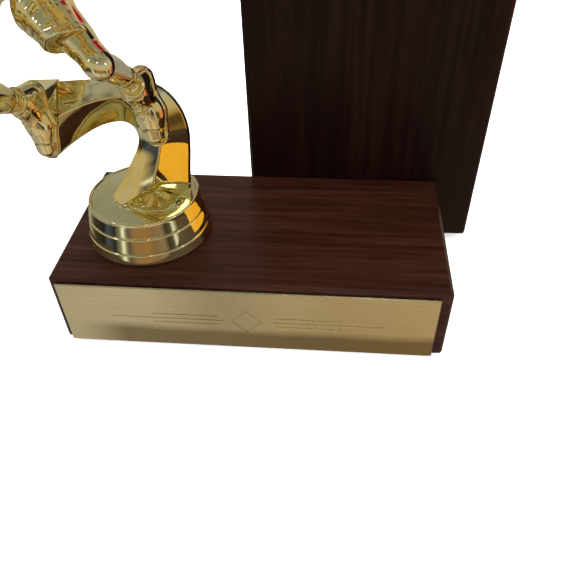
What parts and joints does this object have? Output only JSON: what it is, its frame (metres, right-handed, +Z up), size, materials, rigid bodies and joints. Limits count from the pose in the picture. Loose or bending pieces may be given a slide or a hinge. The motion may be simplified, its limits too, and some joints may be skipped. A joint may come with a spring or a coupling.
{
  "type": "bowling trophy",
  "caption": "Wooden trophy block with a name plate, an upright back board and a bright plated bowler leaping off a curled arch on a round base.",
  "frame": {"origin": "middle of the felt face the trophy stands on, under the centre of the wooden block", "axes": "+Z up; +X to the right along the block's long front face; +Y to the back, towards the upright board; the name plate faces -Y"},
  "size_m": [0.2233, 0.1245, 0.2286],
  "materials": {
    "walnut": "satin lacquer, dark walnut stain",
    "dark_walnut": "satin lacquer, near-black walnut stain",
    "felt": "felt",
    "plate_brass": "brushed",
    "adhesive": "matt",
    "gold_plate": "mirror metallised gold",
    "insert_brass": "turned",
    "zinc_steel": "zinc plated",
    "screw_steel": "yellow zinc plated"
  },
  "bodies": {
    "root": {"base_block": "walnut", "base_felt": "felt", "back_board": "dark_walnut", "board_screws": "screw_steel", "name_plate": "plate_brass", "plate_adhesive": "adhesive", "figure_skirt": "gold_plate", "figure_disc": "gold_plate", "rod_insert": "insert_brass", "threaded_rod": "zinc_steel", "washer": "zinc_steel", "hex_nut": "zinc_steel", "arch_front": "gold_plate", "arch_rear": "gold_plate", "shoe_left": "gold_plate", "shoe_right": "gold_plate", "leg_left": "gold_plate", "leg_right": "gold_plate", "shorts": "gold_plate", "shirt": "gold_plate", "arm_left": "gold_plate", "arm_right": "gold_plate", "head": "gold_plate", "hair": "gold_plate", "bowling_ball": "gold_plate"}
  },
  "joints": []
}
